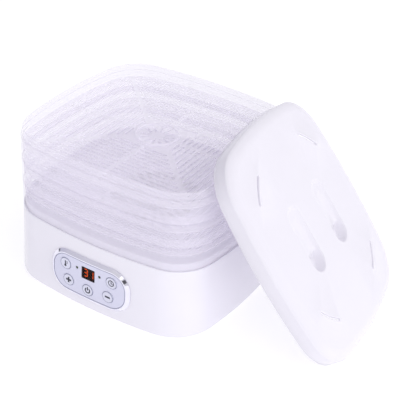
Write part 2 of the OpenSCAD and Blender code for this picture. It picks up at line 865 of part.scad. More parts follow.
module lid() {
    color(frosted)
        at_unit() translate(lid_at) rotate(lid_turn) rotate([0, lid_tilt, 0]) rotate([lid_roll, 0, 0])
            difference() {
                union() {
                    lid_body();
                    for (s = [-1, 1]) translate([0, s * scoop_x, 0]) scoop(lid_t, -0.1);
                }
                for (s = [-1, 1]) translate([0, s * scoop_x, 0]) scoop(0, 2);
                for (a = [vent_angle, 180 - vent_angle]) {
                    vent(a);
                    vent(-a);
                }
            }
}

base_shell();
bottom_cover();
rubber_feet();
top_deck();
panel_bezel();
panel_fascia();
display_lens();
display_module();
display_digits();
button_temperature();
button_timer();
button_plus();
button_minus();
button_power();
indicator_lamps();
control_board();
tact_switches();
power_board();
power_components();
motor_bracket();
motor_can();
motor_stator();
motor_bearings();
motor_rotor();
fan_shaft();
fan_impeller();
air_duct();
heater_frame();
heater_ribbon();
thermostat();
thermal_fuse();
temperature_sensor();
terminal_block();
cord_gland();
cord_clamp();
wire_harness();
base_screws();
deck_screws();
bracket_screws();
board_screws();
tray_1();
tray_2();
tray_3();
lid();
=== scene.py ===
"""Looks of a square food dehydrator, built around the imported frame."""
import math

import bmesh
import bpy
from mathutils import Matrix, Vector
from mathutils.geometry import delaunay_2d_cdt


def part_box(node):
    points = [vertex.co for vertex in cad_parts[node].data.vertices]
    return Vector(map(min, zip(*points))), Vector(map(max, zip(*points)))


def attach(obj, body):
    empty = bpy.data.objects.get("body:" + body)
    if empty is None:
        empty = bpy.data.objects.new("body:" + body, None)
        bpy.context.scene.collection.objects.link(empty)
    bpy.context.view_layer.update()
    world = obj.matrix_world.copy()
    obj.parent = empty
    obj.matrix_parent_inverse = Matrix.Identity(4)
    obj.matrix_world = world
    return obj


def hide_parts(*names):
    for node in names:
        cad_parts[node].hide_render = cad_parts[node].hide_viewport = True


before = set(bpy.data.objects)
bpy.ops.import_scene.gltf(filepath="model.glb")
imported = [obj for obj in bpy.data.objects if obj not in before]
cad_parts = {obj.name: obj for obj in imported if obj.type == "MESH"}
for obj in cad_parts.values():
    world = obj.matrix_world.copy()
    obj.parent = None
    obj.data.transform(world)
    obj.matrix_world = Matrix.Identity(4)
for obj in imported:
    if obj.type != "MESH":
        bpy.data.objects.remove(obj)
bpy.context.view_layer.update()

MM = 0.001
WELD = 2e-6

# ---------- sizes, in millimetres, as in the part's source ----------

HAIR = 0.12  # the visible skins lie this far inside the CAD's
BODY_W, BODY_D = 270.0, 255.0
CORNER_R = 53.0
BULGE = 5.3
FOOT_GAP = 8.5
BASE_TOP = 97.5
FLARE = 2.9
SHELL_T = 2.5
PITCH = 30.4
RIM_H = 9.1
RIM_IN = 2.3
TRAY_T = 2.0
FLOOR_Z = 19.5
SLOT_PITCH = 7.0
SLOT_W = 3.6
SLOT_MARGIN = 7.0
HUB_R = 26.0
DECK_Z = BASE_TOP - 2
LEDGE_IN, LEDGE_T = 9.0, 2.5
POST_R, POST_BORE, POST_LOW, POST_IN = 5.0, 1.7, 12.2, 6.5
GLAND_Z, GLAND_R = 30.0, 6.7
LID_OVER, LID_SKIRT, LID_CROWN, LID_SHOULDER = 1.0, 15.8, 6.0, 14.4
LID_T = 2.0
LID_AT = (197.3, 27.5, 118.65)
LID_TILT, LID_TURN, LID_ROLL = 51.7, 2.1, -6.9
SCOOP_X, SCOOP_R, SCOOP_HALF = 37.5, 14.5, 25.5
SCOOP_SHALLOW, SCOOP_SLOPE, SCOOP_DEEP, SCOOP_POCKET = 2.5, 2.5, 12.0, 0.8
VENT_R, VENT_SWEEP, VENT_W, VENT_ANGLE = 110.0, 9.0, 2.4, 43
PANEL_W, PANEL_H, PANEL_Z = 111.0, 57.0, 49.5
BEZEL_W, BEZEL_R, POD_H = 4.7, 25.0, 3.7
OPENING_W, OPENING_H, OPENING_R = PANEL_W - 26, PANEL_H - 11, 15.0
FASCIA_OUT, FASCIA_T = 3.4, 2.0
BUTTON_R = 7.3
BUTTONS = {
    "temperature": (-32.2, 10.8), "timer": (32.2, 10.8),
    "plus": (-27.8, -10.0), "minus": (27.8, -10.0), "power": (0.0, -12.5),
}
LAMPS = ((-15.8, 12.1), (15.8, 12.1))
LAMP_HOLE_R = 1.7
DISPLAY_W, DISPLAY_H, DISPLAY_Z = 18.4, 15.8, 9.2
BOARD_Y = 15.0

HALF_W, HALF_D = BODY_W / 2, BODY_D / 2
CORNER_X = HALF_W - CORNER_R - BULGE
CORNER_Y = HALF_D - CORNER_R - BULGE
BULGE_RX = (CORNER_Y ** 2 + BULGE ** 2) / (2 * BULGE)
BULGE_RY = (CORNER_X ** 2 + BULGE ** 2) / (2 * BULGE)
TURN_X = math.asin(CORNER_Y / BULGE_RX)
TURN_Y = math.asin(CORNER_X / BULGE_RY)
FLARE_RATE = FLARE / (BASE_TOP - FOOT_GAP)
PANEL_Y = HALF_D + FLARE_RATE * (BASE_TOP - PANEL_Z)
FRONT_R = BULGE_RY + CORNER_R + FLARE_RATE * (BASE_TOP - PANEL_Z)

# the middle of the stack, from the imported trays
tray_low, tray_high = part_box("tray_3")
UNIT = Vector(((tray_low[0] + tray_high[0]) / 2, (tray_low[1] + tray_high[1]) / 2, 0))

UNIT_M = Matrix.Translation(UNIT) @ Matrix.Scale(MM, 4)
PANEL_M = (UNIT_M @ Matrix.Translation((0, -PANEL_Y, PANEL_Z))
           @ Matrix.Rotation(-math.atan(FLARE_RATE), 4, "X"))
LID_M = (UNIT_M @ Matrix.Translation(LID_AT)
         @ Matrix.Rotation(math.radians(LID_TURN), 4, "Z")
         @ Matrix.Rotation(math.radians(LID_TILT), 4, "Y")
         @ Matrix.Rotation(math.radians(LID_ROLL), 4, "X"))

# ---------- outlines ----------


def arc(cx, cy, r, start, end, steps):
    return [(cx + r * math.cos(start + (end - start) * i / steps),
             cy + r * math.sin(start + (end - start) * i / steps)) for i in range(steps)]


def plan(inset=0.0):
    """The body's outline, anticlockwise, moved inwards by inset."""
    side, corner = 16, 14
    r = CORNER_R - inset - HAIR
    sx = HALF_W - CORNER_R - BULGE_RX
    sy = HALF_D - CORNER_R - BULGE_RY
    a, b, half = TURN_X, TURN_Y, math.pi / 2
    return (arc(sx, 0, BULGE_RX + r, -a, a, side)
            + arc(CORNER_X, CORNER_Y, r, a, half - b, corner)
            + arc(0, sy, BULGE_RY + r, half - b, half + b, side)
            + arc(-CORNER_X, CORNER_Y, r, half + b, 2 * half - a, corner)
            + arc(-sx, 0, BULGE_RX + r, 2 * half - a, 2 * half + a, side)
            + arc(-CORNER_X, -CORNER_Y, r, 2 * half + a, 3 * half - b, corner)
            + arc(0, -sy, BULGE_RY + r, 3 * half - b, 3 * half + b, side)
            + arc(CORNER_X, -CORNER_Y, r, 3 * half + b, 4 * half - a, corner))


def soften(points, steps=4):
    """A closed profile of (x, y, radius) corners, with each corner rounded to its radius."""
    out = []
    n = len(points)
    for i, (x, y, r) in enumerate(points):
        p = Vector((x, y))
        before = Vector(points[i - 1][:2]) - p
        after = Vector(points[(i + 1) % n][:2]) - p
        turn = before.angle(after, 0)
        if r <= 0 or turn > math.radians(176):
            out.append((x, y))
            continue
        reach = min(r / math.tan(turn / 2), before.length * 0.48, after.length * 0.48)
        a, b = p + before.normalized() * reach, p + after.normalized() * reach
        for k in range(steps + 1):
            t = k / steps
            out.append(tuple(a * (1 - t) ** 2 + p * (2 * t * (1 - t)) + b * t ** 2))
    return out


def circle(cx, cy, r, n=64):
    return [(cx + r * math.cos(2 * math.pi * i / n), cy + r * math.sin(2 * math.pi * i / n))
            for i in range(n)]


def stadium(half, r, cy=0.0, n=24, along=24):
    """A bar with round ends along x, anticlockwise."""
    right = [(half + r * math.cos(a), cy + r * math.sin(a))
             for a in (-math.pi / 2 + math.pi * i / n for i in range(n + 1))]
    right += [(half * (1 - 2 * i / along), cy + r) for i in range(1, along)]
    left = [(-x, 2 * cy - y) for x, y in right]
    return right + left


def round_rect(w, h, r, cx=0.0, cy=0.0, n=10, along=1):
    """A rectangle with round corners, anticlockwise; its long edges are cut into pieces."""
    out = []
    corners = ((w / 2 - r, h / 2 - r), (-w / 2 + r, h / 2 - r),
               (-w / 2 + r, -h / 2 + r), (w / 2 - r, -h / 2 + r))
    for k, (x, y) in enumerate(corners):
        for i in range(n + 1):
            a = math.pi / 2 * (k + i / n)
            out.append((cx + x + r * math.cos(a), cy + y + r * math.sin(a)))
        if k in (0, 2):
            x0, x1, y0 = out[-1][0], -out[-1][0] + 2 * cx, out[-1][1]
            out += [(x0 + (x1 - x0) * i / along, y0) for i in range(1, along)]
    return out


def inside(x, y, poly):
    """Whether a point lies in a polygon, by counting the edges to one side of it."""
    hit = False
    for i, (xi, yi) in enumerate(poly):
        xj, yj = poly[i - 1]
        if (yi > y) != (yj > y) and x < (xj - xi) * (y - yi) / (yj - yi) + xi:
            hit = not hit
    return hit


def within(x, y, loops):
    """Whether a point lies in the first loop and in none of the others."""
    return inside(x, y, loops[0]) and not any(inside(x, y, h) for h in loops[1:])


# ---------- mesh building ----------


class Build:
    """Vertices and faces of one piece, in its own millimetre frame."""

    def __init__(self):
        self.verts = []
        self.faces = []

    def ring(self, points):
        start = len(self.verts)
        self.verts += [tuple(p) for p in points]
        return list(range(start, len(self.verts)))

    def bridge(self, a, b):
        n = len(a)
        for k in range(n):
            m = (k + 1) % n
            self.faces.append((a[k], a[m], b[m], b[k]))

    def chain(self, ids):
        for a, b in zip(ids, ids[1:]):
            self.bridge(a, b)

    def loft(self, rings, closed=True):
        ids = [self.ring(r) for r in rings]
        self.chain(ids)
        if closed:
            self.bridge(ids[-1], ids[0])
        return ids

    def cap(self, ids):
        self.faces.append(tuple(ids))

    def fill(self, outer, holes=(), flat=lambda v: (v[0], v[1]), grid=None, lift=None):
        """Triangles between an outer ring of vertices and hole rings; grid adds points inside."""
        ids = list(outer) + [i for h in holes for i in h]
        spots = [Vector(flat(self.verts[i])) for i in ids]
        edges = []
        start = 0
        loops = []
        for loop in [outer] + list(holes):
            n = len(loop)
            edges += [(start + k, start + (k + 1) % n) for k in range(n)]
            loops.append([tuple(spots[start + k]) for k in range(n)])
            start += n
        for p in grid or ():
            if within(*p, loops):
                spots.append(Vector(p))
                self.verts.append(tuple(lift(*p)))
                ids.append(len(self.verts) - 1)
        verts, _, faces, orig, _, _ = delaunay_2d_cdt(spots, edges, [], 0, 1e-5, True)
        back = [ids[o[0]] if o else None for o in orig]
        for f in faces:
            if any(back[i] is None for i in f):
                continue
            x = sum(verts[i][0] for i in f) / len(f)
            y = sum(verts[i][1] for i in f) / len(f)
            if within(x, y, loops):
                self.faces.append(tuple(back[i] for i in f))

    def mesh(self, name, matrix, weld=0.0):
        """The mesh in the frame's metres, its normals outwards and vertices closer than weld joined."""
        mesh = bpy.data.meshes.new(name)
        mesh.from_pydata([matrix @ Vector(v) for v in self.verts], [], self.faces)
        bm = bmesh.new()
        bm.from_mesh(mesh)
        if weld:
            bmesh.ops.remove_doubles(bm, verts=bm.verts, dist=weld)
        bmesh.ops.recalc_face_normals(bm, faces=bm.faces)
        bm.to_mesh(mesh)
        bm.free()
        return mesh

    def piece(self, name, matrix, body, material, stands_for=(), sharp=35):
        """A visible object that rides on body and stands for the named CAD nodes."""
        mesh = self.mesh(name, matrix, WELD)
        smooth(mesh, sharp)
        obj = link(name, mesh)
        mesh.materials.append(material)
        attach(obj, body)
        if stands_for:
            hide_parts(*stands_for)
        return obj


def smooth(mesh, sharp=35):
    """Smooth shading, except across edges sharper than an angle in degrees."""
    for p in mesh.polygons:
        p.use_smooth = True
    mesh.set_sharp_from_angle(angle=math.radians(sharp))


def link(name, data):
    obj = bpy.data.objects.new(name, data)
    bpy.context.scene.collection.objects.link(obj)
    return obj


def wall_rings(profile):
    """The body's outline at each (inset, height) of a profile."""
    return [[(x, y, z) for x, y in plan(inset)] for inset, z in profile]


def lathe(b, profile, cx=0.0, cz=0.0, n=64):
    """Rings of (radius, depth) about the panel's normal, in the panel's frame; ends are capped."""
    ids = b.loft([[(x, y, z) for x, z in circle(cx, cz, r, n)] for r, y in profile], closed=False)
    b.cap(ids[0])
    b.cap(ids[-1])


def from_front(v):
    return v[0], v[2]


def prism(b, outline, y0, y1, holes=()):
    """A flat shape of the panel's plane, from depth y0 to depth y1."""
    front = [b.ring([(x, y0, z) for x, z in loop]) for loop in [outline] + list(holes)]
    back = [b.ring([(x, y1, z) for x, z in loop]) for loop in [outline] + list(holes)]
    for f, k in zip(front, back):
        b.bridge(f, k)
    b.fill(front[0], front[1:], from_front)
    b.fill(back[0], back[1:], from_front)


# ---------- materials ----------


class Shader:
    """A Principled material with its node tree at hand."""

    def __init__(self, name, color, rough, **sockets):
        self.mat = bpy.data.materials.new(name)
        self.mat.use_nodes = True
        self.nodes = self.mat.node_tree.nodes
        self.links = self.mat.node_tree.links
        self.bsdf = self.nodes["Principled BSDF"]
        self.coord = self.nodes.new("ShaderNodeTexCoord").outputs["Object"]
        self.bsdf.inputs["Base Color"].default_value = (*color, 1)
        self.bsdf.inputs["Roughness"].default_value = rough
        for key, value in sockets.items():
            self.bsdf.inputs[key.replace("_", " ")].default_value = value

    def noise(self, scale, detail=3.0, stretch=None):
        node = self.nodes.new("ShaderNodeTexNoise")
        node.inputs["Scale"].default_value = scale
        node.inputs["Detail"].default_value = detail
        node.inputs["Roughness"].default_value = 0.5
        source = self.coord
        if stretch:
            mapping = self.nodes.new("ShaderNodeMapping")
            mapping.inputs["Scale"].default_value = stretch
            self.links.new(source, mapping.inputs["Vector"])
            source = mapping.outputs["Vector"]
        self.links.new(source, node.inputs["Vector"])
        return node.outputs["Fac"]

    def colors(self, fac, first, second):
        ramp = self.nodes.new("ShaderNodeValToRGB")
        for element, position, color in zip(ramp.color_ramp.elements, (0.35, 0.65), (first, second)):
            element.position = position
            element.color = (*color, 1)
        self.links.new(fac, ramp.inputs["Fac"])
        self.links.new(ramp.outputs["Color"], self.bsdf.inputs["Base Color"])
        return self

    def spread(self, fac, socket, low, high):
        node = self.nodes.new("ShaderNodeMapRange")
        node.inputs["To Min"].default_value = low
        node.inputs["To Max"].default_value = high
        self.links.new(fac, node.inputs["Value"])
        self.links.new(node.outputs["Result"], self.bsdf.inputs[socket])
        return self

    def bump(self, fac, strength, distance):
        node = self.nodes.new("ShaderNodeBump")
        node.inputs["Strength"].default_value = strength
        node.inputs["Distance"].default_value = distance
        self.links.new(fac, node.inputs["Height"])
        self.links.new(node.outputs["Normal"], self.bsdf.inputs["Normal"])
        return self


def mix(color, other, t):
    return tuple(a + (b - a) * t for a, b in zip(color, other))


def moulded(name, color, rough, shade=0.05, grain=900, bump=0.08, uneven=0.18, **sockets):
    """Moulded plastic: faint cloudiness, uneven gloss and a fine skin."""
    s = Shader(name, color, rough, **sockets)
    s.colors(s.noise(9, 4), mix(color, (0, 0, 0), shade), color)
    s.spread(s.noise(60, 5), "Roughness", rough * (1 - uneven), rough * (1 + uneven))
    return s.bump(s.noise(grain, 2), bump, 0.0004).mat


def metal(name, color, rough, stretch=(1, 1, 12), **sockets):
    """Worked metal: fine brushed streaks and slight stains."""
    s = Shader(name, color, rough, Metallic=1.0, **sockets)
    s.colors(s.noise(40, 5), mix(color, (0, 0, 0), 0.22), color)
    s.spread(s.noise(220, 3, stretch), "Roughness", rough * 0.7, rough * 1.4)
    return s.bump(s.noise(500, 2, stretch), 0.12, 0.0004).mat


WHITE = moulded("white_plastic", (0.87, 0.85, 0.93), 0.2, 0.03, 1400, 0.04,
                Coat_Weight=0.35, Coat_Roughness=0.08)
# the trays' emission is a painted glow: it stands in for light passing through the clear plastic and lifts
# the shade inside the stack
FROSTED = moulded("frosted_plastic", (0.85, 0.82, 0.91), 0.24, 0.015, 1500, 0.01, 0.06, Alpha=0.25,
                  Emission_Color=(0.88, 0.85, 0.98, 1), Emission_Strength=0.075)
FLOOR_FROST = moulded("tray_floor_plastic", (0.88, 0.85, 0.93), 0.3, 0.02, 1500, 0.02, 0.08, Alpha=0.28,
                      Emission_Color=(0.89, 0.86, 0.97, 1), Emission_Strength=0.12)
# the lid's emission is a painted glow: it stands in for light passing through the translucent lid and lifts
# the shade in its scoops
LID_PLASTIC = moulded("lid_plastic", (0.8, 0.78, 0.845), 0.24, 0.015, 1500, 0.02, 0.06, Alpha=0.88,
                      Emission_Color=(0.9, 0.88, 1.0, 1), Emission_Strength=0.08)
# the plated ring's emission is a painted reflection: a faint glow that makes the ring paler than the room it
# mirrors
CHROME = Shader("bezel_chrome", (0.79, 0.78, 0.87), 0.1, Metallic=1.0, Emission_Color=(0.9, 0.88, 1.0, 1),
                Emission_Strength=0.09)
CHROME.colors(CHROME.noise(30, 4), (0.74, 0.73, 0.82), (0.8, 0.79, 0.88))
CHROME.spread(CHROME.noise(90, 5), "Roughness", 0.05, 0.14)
CHROME = CHROME.bump(CHROME.noise(1500, 2), 0.02, 0.0002).mat
FASCIA = moulded("fascia_plastic", (0.72, 0.72, 0.88), 0.3, 0.04, 1600, 0.05)
BUTTON = moulded("button_plastic", (0.74, 0.745, 0.88), 0.34, 0.04, 1600, 0.05)
INK = moulded("printed_ink", (0.018, 0.02, 0.045), 0.4, 0.2, 1600, 0.04)
EDGE_LINE = moulded("grey_edge_line", (0.2, 0.22, 0.33), 0.4, 0.1, 1600, 0.04)
LENS = moulded("lens_black", (0.012, 0.003, 0.002), 0.1, 0.3, 1600, 0.02, Alpha=0.55, Specular_IOR_Level=0.12)
DIGIT = moulded("digit_red", (0.9, 0.09, 0.012), 0.4, 0.1, 1600, 0.02,
                Emission_Color=(1.0, 0.11, 0.018, 1), Emission_Strength=3.8)
LAMP = moulded("lamp_green", (0.05, 0.075, 0.03), 0.22, 0.3, 1600, 0.04)
DARK = moulded("dark_plastic", (0.03, 0.03, 0.034), 0.45, 0.3, 900, 0.15)
RUBBER = moulded("rubber", (0.035, 0.035, 0.038), 0.75, 0.3, 500, 0.35)
DUCT = moulded("duct_plastic", (0.74, 0.74, 0.77), 0.45, 0.08, 800, 0.12)
STEEL = metal("steel", (0.56, 0.57, 0.59), 0.32)
RIBBON = metal("ribbon_steel", (0.33, 0.3, 0.32), 0.42)
COPPER = metal("copper", (0.55, 0.26, 0.12), 0.35, (1, 1, 30))
BRONZE = metal("bronze", (0.5, 0.36, 0.17), 0.38)
MICA = moulded("mica", (0.56, 0.46, 0.3), 0.35, 0.35, 300, 0.3)
BOARD = moulded("board_green", (0.03, 0.16, 0.07), 0.3, 0.3, 700, 0.2, Coat_Weight=0.4)
PARTS = moulded("component_blue", (0.06, 0.12, 0.3), 0.35, 0.45, 700, 0.15)
WIRE = moulded("wire_red", (0.45, 0.03, 0.02), 0.5, 0.2, 900, 0.1)

# ---------- base ----------


def tube(b, x, y, r, bore, z0, z1, n=32):
    """An upright post with a bore, as rings."""
    loops = [[(px, py, z) for px, py in circle(x, y, q, n)] for q, z in
             ((r, z0), (r, z1), (bore, z1), (bore, z0))]
    b.loft(loops)


def cut(obj, cutter, matrix):
    """Cuts the shape of the Build called cutter out of obj's mesh."""
    mesh = cutter.mesh("cutter", matrix)
    tool = link("cutter", mesh)
    mod = obj.modifiers.new("cut", "BOOLEAN")
    mod.operation = "DIFFERENCE"
    mod.solver = "EXACT"
    mod.object = tool
    bpy.context.view_layer.update()
    done = bpy.data.meshes.new_from_object(obj.evaluated_get(bpy.context.evaluated_depsgraph_get()))
    obj.modifiers.remove(mod)
    old = obj.data
    obj.data = done
    bpy.data.meshes.remove(old)
    bpy.data.objects.remove(tool)
    bpy.data.meshes.remove(mesh)
    smooth(obj.data)


def make_base():
    """The shell with its ledge for the deck, cut for the panel and the cord, and its screw posts."""
    mid = (FOOT_GAP + BASE_TOP) / 2
    profile = soften([
        (-FLARE, FOOT_GAP, 2.2), (-FLARE * 0.45, mid, 0), (0, BASE_TOP, 1.6),
        (RIM_IN - 0.2, BASE_TOP, 0.3), (RIM_IN - 0.2, DECK_Z, 0.3),
        (LEDGE_IN, DECK_Z, 0.5), (LEDGE_IN, DECK_Z - LEDGE_T, 0.5), (SHELL_T, DECK_Z - LEDGE_T, 0.5),
        (SHELL_T - FLARE * 0.45, mid, 0), (SHELL_T - FLARE, FOOT_GAP, 0.4)])
    b = Build()
    b.loft(wall_rings(profile))
    shell = b.piece("base_skin", UNIT_M, "base", WHITE, ["base_shell"])
    opening = Build()
    prism(opening, round_rect(OPENING_W, OPENING_H, OPENING_R, n=12), -5, 12)
    cut(shell, opening, PANEL_M)
    gland = Build()
    gland_y = HALF_D + FLARE_RATE * (BASE_TOP - GLAND_Z)
    lathe(gland, [(GLAND_R, gland_y - 14), (GLAND_R, gland_y + 6)], 0, GLAND_Z, 32)
    cut(shell, gland, UNIT_M)
    posts = Build()
    diagonal = 0.707 * (CORNER_R - POST_IN)
    px, py = CORNER_X + diagonal, CORNER_Y + diagonal
    for x in (-px, px):
        for y in (-py, py):
            tube(posts, x, y, POST_R, POST_BORE, POST_LOW, DECK_Z - 1.9)
    posts.piece("base_posts", UNIT_M, "base", WHITE, ["base_shell"])


make_base()

# ---------- trays ----------


def slot_reach(hu, hv, cu, cv, v):
    """How far along u a slot at height v may run before the round corner or the next side's slots."""
    inner = CORNER_R - SLOT_MARGIN
    beyond = max(0.0, v - cv)
    end = cu + math.sqrt(inner ** 2 - beyond ** 2) if beyond < inner else cu
    return min(end, hu - (hv - v) - SLOT_W - 3)


def side_slots(hu, hv, cu, cv, swap):
    """The straight slots of two opposite sides, in rows; swap turns them to the other two sides."""
    out = []
    v = HUB_R + 6
    while v <= hv - SLOT_MARGIN - SLOT_W / 2:
        u = slot_reach(hu, hv, cu, cv, v + SLOT_W / 2)
        if u > 5:
            for s in (-1, 1):
                for t in (-1, 1):
                    loop = round_rect(u - 2, SLOT_W, SLOT_W * 0.4, t * (u + 2) / 2, s * v, n=4)
                    out.append([(y, x) for x, y in reversed(loop)] if swap else loop)
        v += SLOT_PITCH
    return out


def hub_slots(count=12, r0=9.0, r1=20.0, w=5.0):
    """Wedge-shaped slots around the floor's middle."""
    out = []
    for i in range(count):
        a = 2 * math.pi * (i + 0.5) / count
        corners = [(r, s * w * (r / r1) / 2, 0.7) for r, s in ((r0, -1), (r1, -1), (r1, 1), (r0, 1))]
        out.append([(x * math.cos(a) - y * math.sin(a), x * math.sin(a) + y * math.cos(a))
                    for x, y in soften(corners, 3)])
    return out


def shrink(loop, d):
    """A loop moved inwards by d along its own corners, for the chamfer around a slot."""
    out = []
    n = len(loop)
    for i in range(n):
        a, p, c = Vector(loop[i - 1]), Vector(loop[i]), Vector(loop[(i + 1) % n])
        e, f = (p - a), (c - p)
        m = Vector((-(e.y / max(e.length, 1e-9) + f.y / max(f.length, 1e-9)),
                    e.x / max(e.length, 1e-9) + f.x / max(f.length, 1e-9)))
        m.normalize()
        out.append(tuple(p + m * d))
    return out


def floor_plate(b, inset, z0, z1, holes, chamfer=0.35):
    """A slotted plate whose slots have softened edges."""
    edge_low = b.ring([(x, y, z0) for x, y in plan(inset)])
    edge_high = b.ring([(x, y, z1) for x, y in plan(inset)])
    b.bridge(edge_low, edge_high)
    tops, lows = [], []
    for loop in holes:
        narrow = shrink(loop, chamfer * 0.5)
        wide = shrink(loop, -chamfer * 0.5)
        rings = [b.ring([(x, y, z) for x, y in shape]) for shape, z in
                 ((wide, z1), (narrow, z1 - chamfer), (narrow, z0 + chamfer), (wide, z0))]
        b.chain(rings)
        tops.append(rings[0])
        lows.append(rings[-1])
    b.fill(edge_high, tops)
    b.fill(edge_low, lows)


SLOTS = (side_slots(HALF_W, HALF_D, CORNER_X, CORNER_Y, False)
         + side_slots(HALF_D, HALF_W, CORNER_Y, CORNER_X, True) + hub_slots())


def make_tray(level):
    """One tray: its wall with the nesting rim, and its slotted floor with the ring in the middle."""
    name = f"tray_{level + 1}"
    z = BASE_TOP + level * PITCH
    profile = soften([
        (0, z + 0.3, 0.7), (0, z + PITCH, 1.3), (RIM_IN, z + PITCH, 0.4),
        (RIM_IN, z + PITCH + RIM_H, 0.8), (RIM_IN + TRAY_T, z + PITCH + RIM_H, 0.8),
        (RIM_IN + TRAY_T, z + PITCH - 2, 0.6), (TRAY_T, z + PITCH - 4.5, 0.6), (TRAY_T, z + 0.3, 0.5)])
    b = Build()
    b.loft(wall_rings(profile))
    b.piece(name + "_wall", UNIT_M, name, FROSTED, [name])
    f = Build()
    floor_plate(f, TRAY_T + 0.05, z + FLOOR_Z, z + FLOOR_Z + 2, SLOTS)
    ring = soften([(HUB_R, z + FLOOR_Z + 2, 0), (HUB_R, z + FLOOR_Z + 5, 0.7),
                   (HUB_R - 2, z + FLOOR_Z + 5, 0.7), (HUB_R - 2, z + FLOOR_Z + 2, 0)])
    f.loft([[(x, y, h) for x, y in circle(0, 0, r)] for r, h in ring])
    f.piece(name + "_floor", UNIT_M, name, FLOOR_FROST, [name])


for level in range(3):
    make_tray(level)

# ---------- lid ----------


def clamp(t):
    return max(0.0, min(1.0, t))


def scoop_depth(u):
    """The floor slopes gently, then drops into a pocket at the low end."""
    t = clamp((u + SCOOP_HALF) / (2 * SCOOP_HALF))
    drop = clamp((t - SCOOP_POCKET) / (1 - SCOOP_POCKET))
    pocket = SCOOP_DEEP - SCOOP_SHALLOW - SCOOP_SLOPE
    return SCOOP_SHALLOW + SCOOP_SLOPE * t + pocket * drop * drop * (3 - 2 * drop)


# how far in from the scoop's edge, and the share of its depth
SCOOP_STEPS = ((-1.0, 0.0), (-0.5, 0.02), (-0.1, 0.08), (0.3, 0.2), (0.8, 0.36), (1.4, 0.54), (2.1, 0.73),
               (2.9, 0.88), (3.8, 0.97), (5.0, 1.0), (9.5, 1.0), (SCOOP_R - 0.6, 1.0))


def scoop_rings(b, side, grow, top):
    """A finger scoop's surface, from its edge down to its sloping floor; grow makes the underside."""
    rings = []
    for inset, share in SCOOP_STEPS:
        loop = stadium(SCOOP_HALF, SCOOP_R - inset + grow, side * SCOOP_X)
        rings.append(b.ring([(x, y, top - share * scoop_depth(x)) for x, y in loop]))
    b.chain(rings)
    b.cap(rings[-1])
    return rings[0]


def vent_loop(angle, grow=0.0, steps=14):
    """A thin arc slot with round ends."""
    a0, sweep = math.radians(angle), math.radians(VENT_SWEEP)
    half = VENT_W / 2 + grow
    out = []
    for i in range(steps + 1):
        a = a0 - sweep + 2 * sweep * i / steps
        out.append(((VENT_R + half) * math.cos(a), (VENT_R + half) * math.sin(a)))
    for k in range(1, 6):
        t, a = math.pi * k / 6, a0 + sweep
        c, along = Vector((math.cos(a), math.sin(a))), Vector((-math.sin(a), math.cos(a)))
        out.append(tuple(c * (VENT_R + half * math.cos(t)) + along * half * math.sin(t)))
    for i in range(steps + 1):
        a = a0 + sweep - 2 * sweep * i / steps
        out.append(((VENT_R - half) * math.cos(a), (VENT_R - half) * math.sin(a)))
    for k in range(1, 6):
        t, a = math.pi * k / 6, a0 - sweep
        c, along = Vector((math.cos(a), math.sin(a))), Vector((-math.sin(a), math.cos(a)))
        out.append(tuple(c * (VENT_R - half * math.cos(t)) - along * half * math.sin(t)))
    return out


def make_lid():
    """The lid's skin; its profiles are (distance in from the stack's outline, height)."""
    b = Build()
    n = 10
    t = LID_T
    outer = [(-LID_OVER, -LID_SKIRT + 0.6), (-LID_OVER, -8.0), (-LID_OVER, -1.6), (-LID_OVER + 0.05, -0.9),
             (-LID_OVER + 0.22, -0.35), (-LID_OVER + 0.5, 0.05), (-LID_OVER + 0.9, 0.42)]
    outer += [(-LID_OVER + LID_SHOULDER * q, LID_CROWN * (1 - (1 - q) ** 2))
              for q in (0.1 + 0.9 * i / n for i in range(n + 1))]
    inner = [(-LID_OVER + t + (LID_SHOULDER - t) * q, (LID_CROWN - t) * (1 - (1 - q) ** 2))
             for q in (1 - i / n for i in range(n + 1))]
    inner += [(-LID_OVER + t, -8.0), (-LID_OVER + t, -LID_SKIRT + 0.6),
              (-LID_OVER + t - 0.5, -LID_SKIRT), (-LID_OVER + 0.5, -LID_SKIRT)]
    ids = b.loft(wall_rings(outer), closed=False)
    under = b.loft(wall_rings(inner), closed=False)
    b.bridge(under[-1], ids[0])
    flat_in = LID_SHOULDER - LID_OVER
    brim = b.ring([(x, y, LID_CROWN) for x, y in plan(flat_in + 2)])
    b.bridge(ids[-1], brim)
    soffit = b.ring([(x, y, LID_CROWN - t) for x, y in plan(flat_in + 2)])
    b.bridge(under[0], soffit)
    tops, lows = [], []
    for side in (-1, 1):
        for grow, top, kept in ((0, LID_CROWN, tops), (t, LID_CROWN - t, lows)):
            edge = scoop_rings(b, side, grow, top)
            outline = stadium(SCOOP_HALF, SCOOP_R + 2.5 + grow, side * SCOOP_X)
            support = b.ring([(x, y, top) for x, y in outline])
            b.bridge(support, edge)
            kept.append(support)
    for a in (VENT_ANGLE, 180 - VENT_ANGLE, 180 + VENT_ANGLE, -VENT_ANGLE):
        rings = [b.ring([(x, y, z) for x, y in vent_loop(a, g)]) for g, z in
                 ((1.9, LID_CROWN), (1.3, LID_CROWN + 0.3), (0.8, LID_CROWN + 0.3), (0.2, LID_CROWN - 0.1),
                  (0, LID_CROWN - 0.6), (0, LID_CROWN - t + 0.2), (0.2, LID_CROWN - t))]
        b.chain(rings)
        tops.append(rings[0])
        lows.append(rings[-1])
    b.fill(brim, tops)
    b.fill(soffit, lows)
    b.piece("lid_skin", LID_M, "lid", LID_PLASTIC, ["lid"], sharp=40)


make_lid()

# ---------- control panel ----------


def sag(x, out=0.0):
    """Depth of the curved front wall at x, a distance out of it."""
    return FRONT_R - math.sqrt((FRONT_R + out) ** 2 - x ** 2)


def bezel_loop(inset):
    return round_rect(PANEL_W - 2 * inset, PANEL_H - 2 * inset, BEZEL_R - inset, n=20, along=24)


